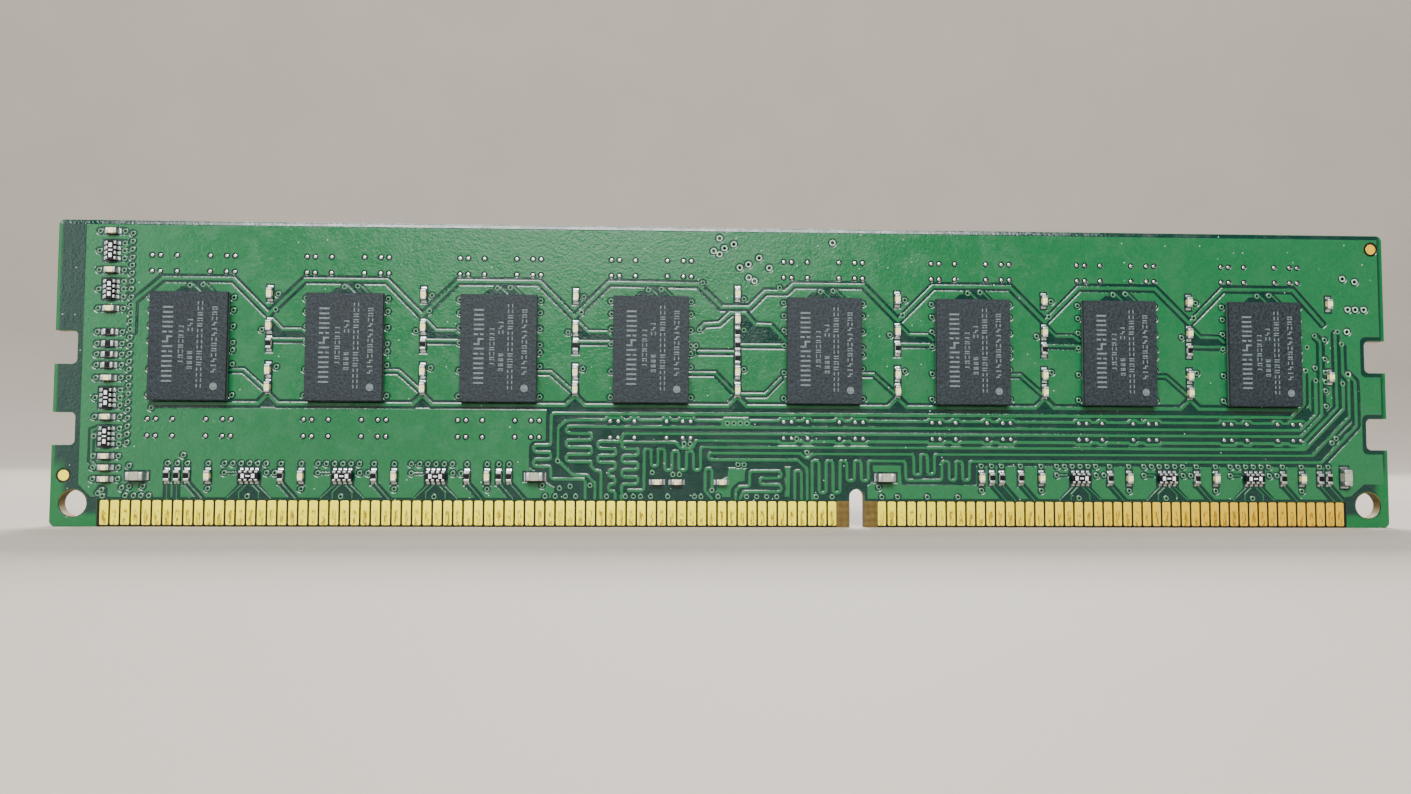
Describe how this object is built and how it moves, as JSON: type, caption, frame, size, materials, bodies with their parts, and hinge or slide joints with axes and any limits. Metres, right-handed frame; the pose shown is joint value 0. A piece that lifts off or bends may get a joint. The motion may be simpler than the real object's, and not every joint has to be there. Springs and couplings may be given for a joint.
{
  "type": "ram module",
  "caption": "Flat rectangular circuit board with memory packages on both faces, gold contacts along one long edge, an off-centre key notch and latch notches in both ends.",
  "frame": {"origin": "middle of the contact edge: halfway along the board, at mid-thickness, on the edge that seats in the socket", "axes": "+X along the board towards the end with the shorter run of contacts, -Y out of the back face, +Y out of the front face, +Z from the contact edge to the top edge"},
  "size_m": [0.1334, 0.0031, 0.03],
  "materials": {
    "laminate": "glass-epoxy laminate, satin on the faces, fibrous and matt on the routed edges",
    "copper": "rolled copper foil",
    "solder_mask": "glossy green solder mask, lighter where copper lies under it",
    "gold_plating": "hard gold plating, satin, rubbed where the socket's springs slide",
    "solder": "bright solder",
    "tinned_end": "matt tin plating",
    "mould_compound": "matt blue-black epoxy mould compound with a fine speckle",
    "package_substrate": "dark green package substrate",
    "silicon": "polished silicon",
    "capacitor_ceramic": "beige fired ceramic",
    "bulk_ceramic": "grey-brown fired ceramic",
    "alumina": "white alumina",
    "black_coat": "black glass coat",
    "label_paper": "white satin label stock"
  },
  "bodies": {
    "root": {"board_core": "laminate", "prepreg_back": "laminate", "prepreg_front": "laminate", "ground_plane": "copper", "power_plane": "copper", "copper_back": "copper", "copper_front": "copper", "solder_mask_back": "solder_mask", "solder_mask_front": "solder_mask", "contacts_back": "gold_plating", "contacts_front": "gold_plating", "via_barrels": "copper", "fiducials": "gold_plating", "test_pads_back": "solder", "test_pads_front": "solder", "dram_back_1": "mould_compound", "dram_back_2": "mould_compound", "dram_back_3": "mould_compound", "dram_back_4": "mould_compound", "dram_back_5": "mould_compound", "dram_back_6": "mould_compound", "dram_back_7": "mould_compound", "dram_back_8": "mould_compound", "dram_front_1": "mould_compound", "dram_front_2": "mould_compound", "dram_front_3": "mould_compound", "dram_front_4": "mould_compound", "dram_front_5": "mould_compound", "dram_front_6": "mould_compound", "dram_front_7": "mould_compound", "dram_front_8": "mould_compound", "dram_substrates_back": "package_substrate", "dram_substrates_front": "package_substrate", "dram_dies_back": "silicon", "dram_dies_front": "silicon", "solder_balls_back": "solder", "solder_balls_front": "solder", "capacitor_bodies_back": "capacitor_ceramic", "capacitor_bodies_front": "capacitor_ceramic", "capacitor_ends_back": "tinned_end", "capacitor_ends_front": "tinned_end", "resistor_bodies_back": "alumina", "resistor_bodies_front": "alumina", "resistor_ends_back": "tinned_end", "resistor_ends_front": "tinned_end", "resistor_coats_back": "black_coat", "resistor_coats_front": "black_coat", "array_bodies_back": "alumina", "array_bodies_front": "alumina", "array_ends_back": "tinned_end", "array_ends_front": "tinned_end", "bulk_capacitor_bodies_back": "bulk_ceramic", "bulk_capacitor_bodies_front": "bulk_ceramic", "bulk_capacitor_ends_back": "tinned_end", "bulk_capacitor_ends_front": "tinned_end", "solder_fillets_back": "solder", "solder_fillets_front": "solder", "eeprom_body": "mould_compound", "eeprom_leads": "tinned_end", "blank_label": "label_paper"}
  },
  "joints": []
}
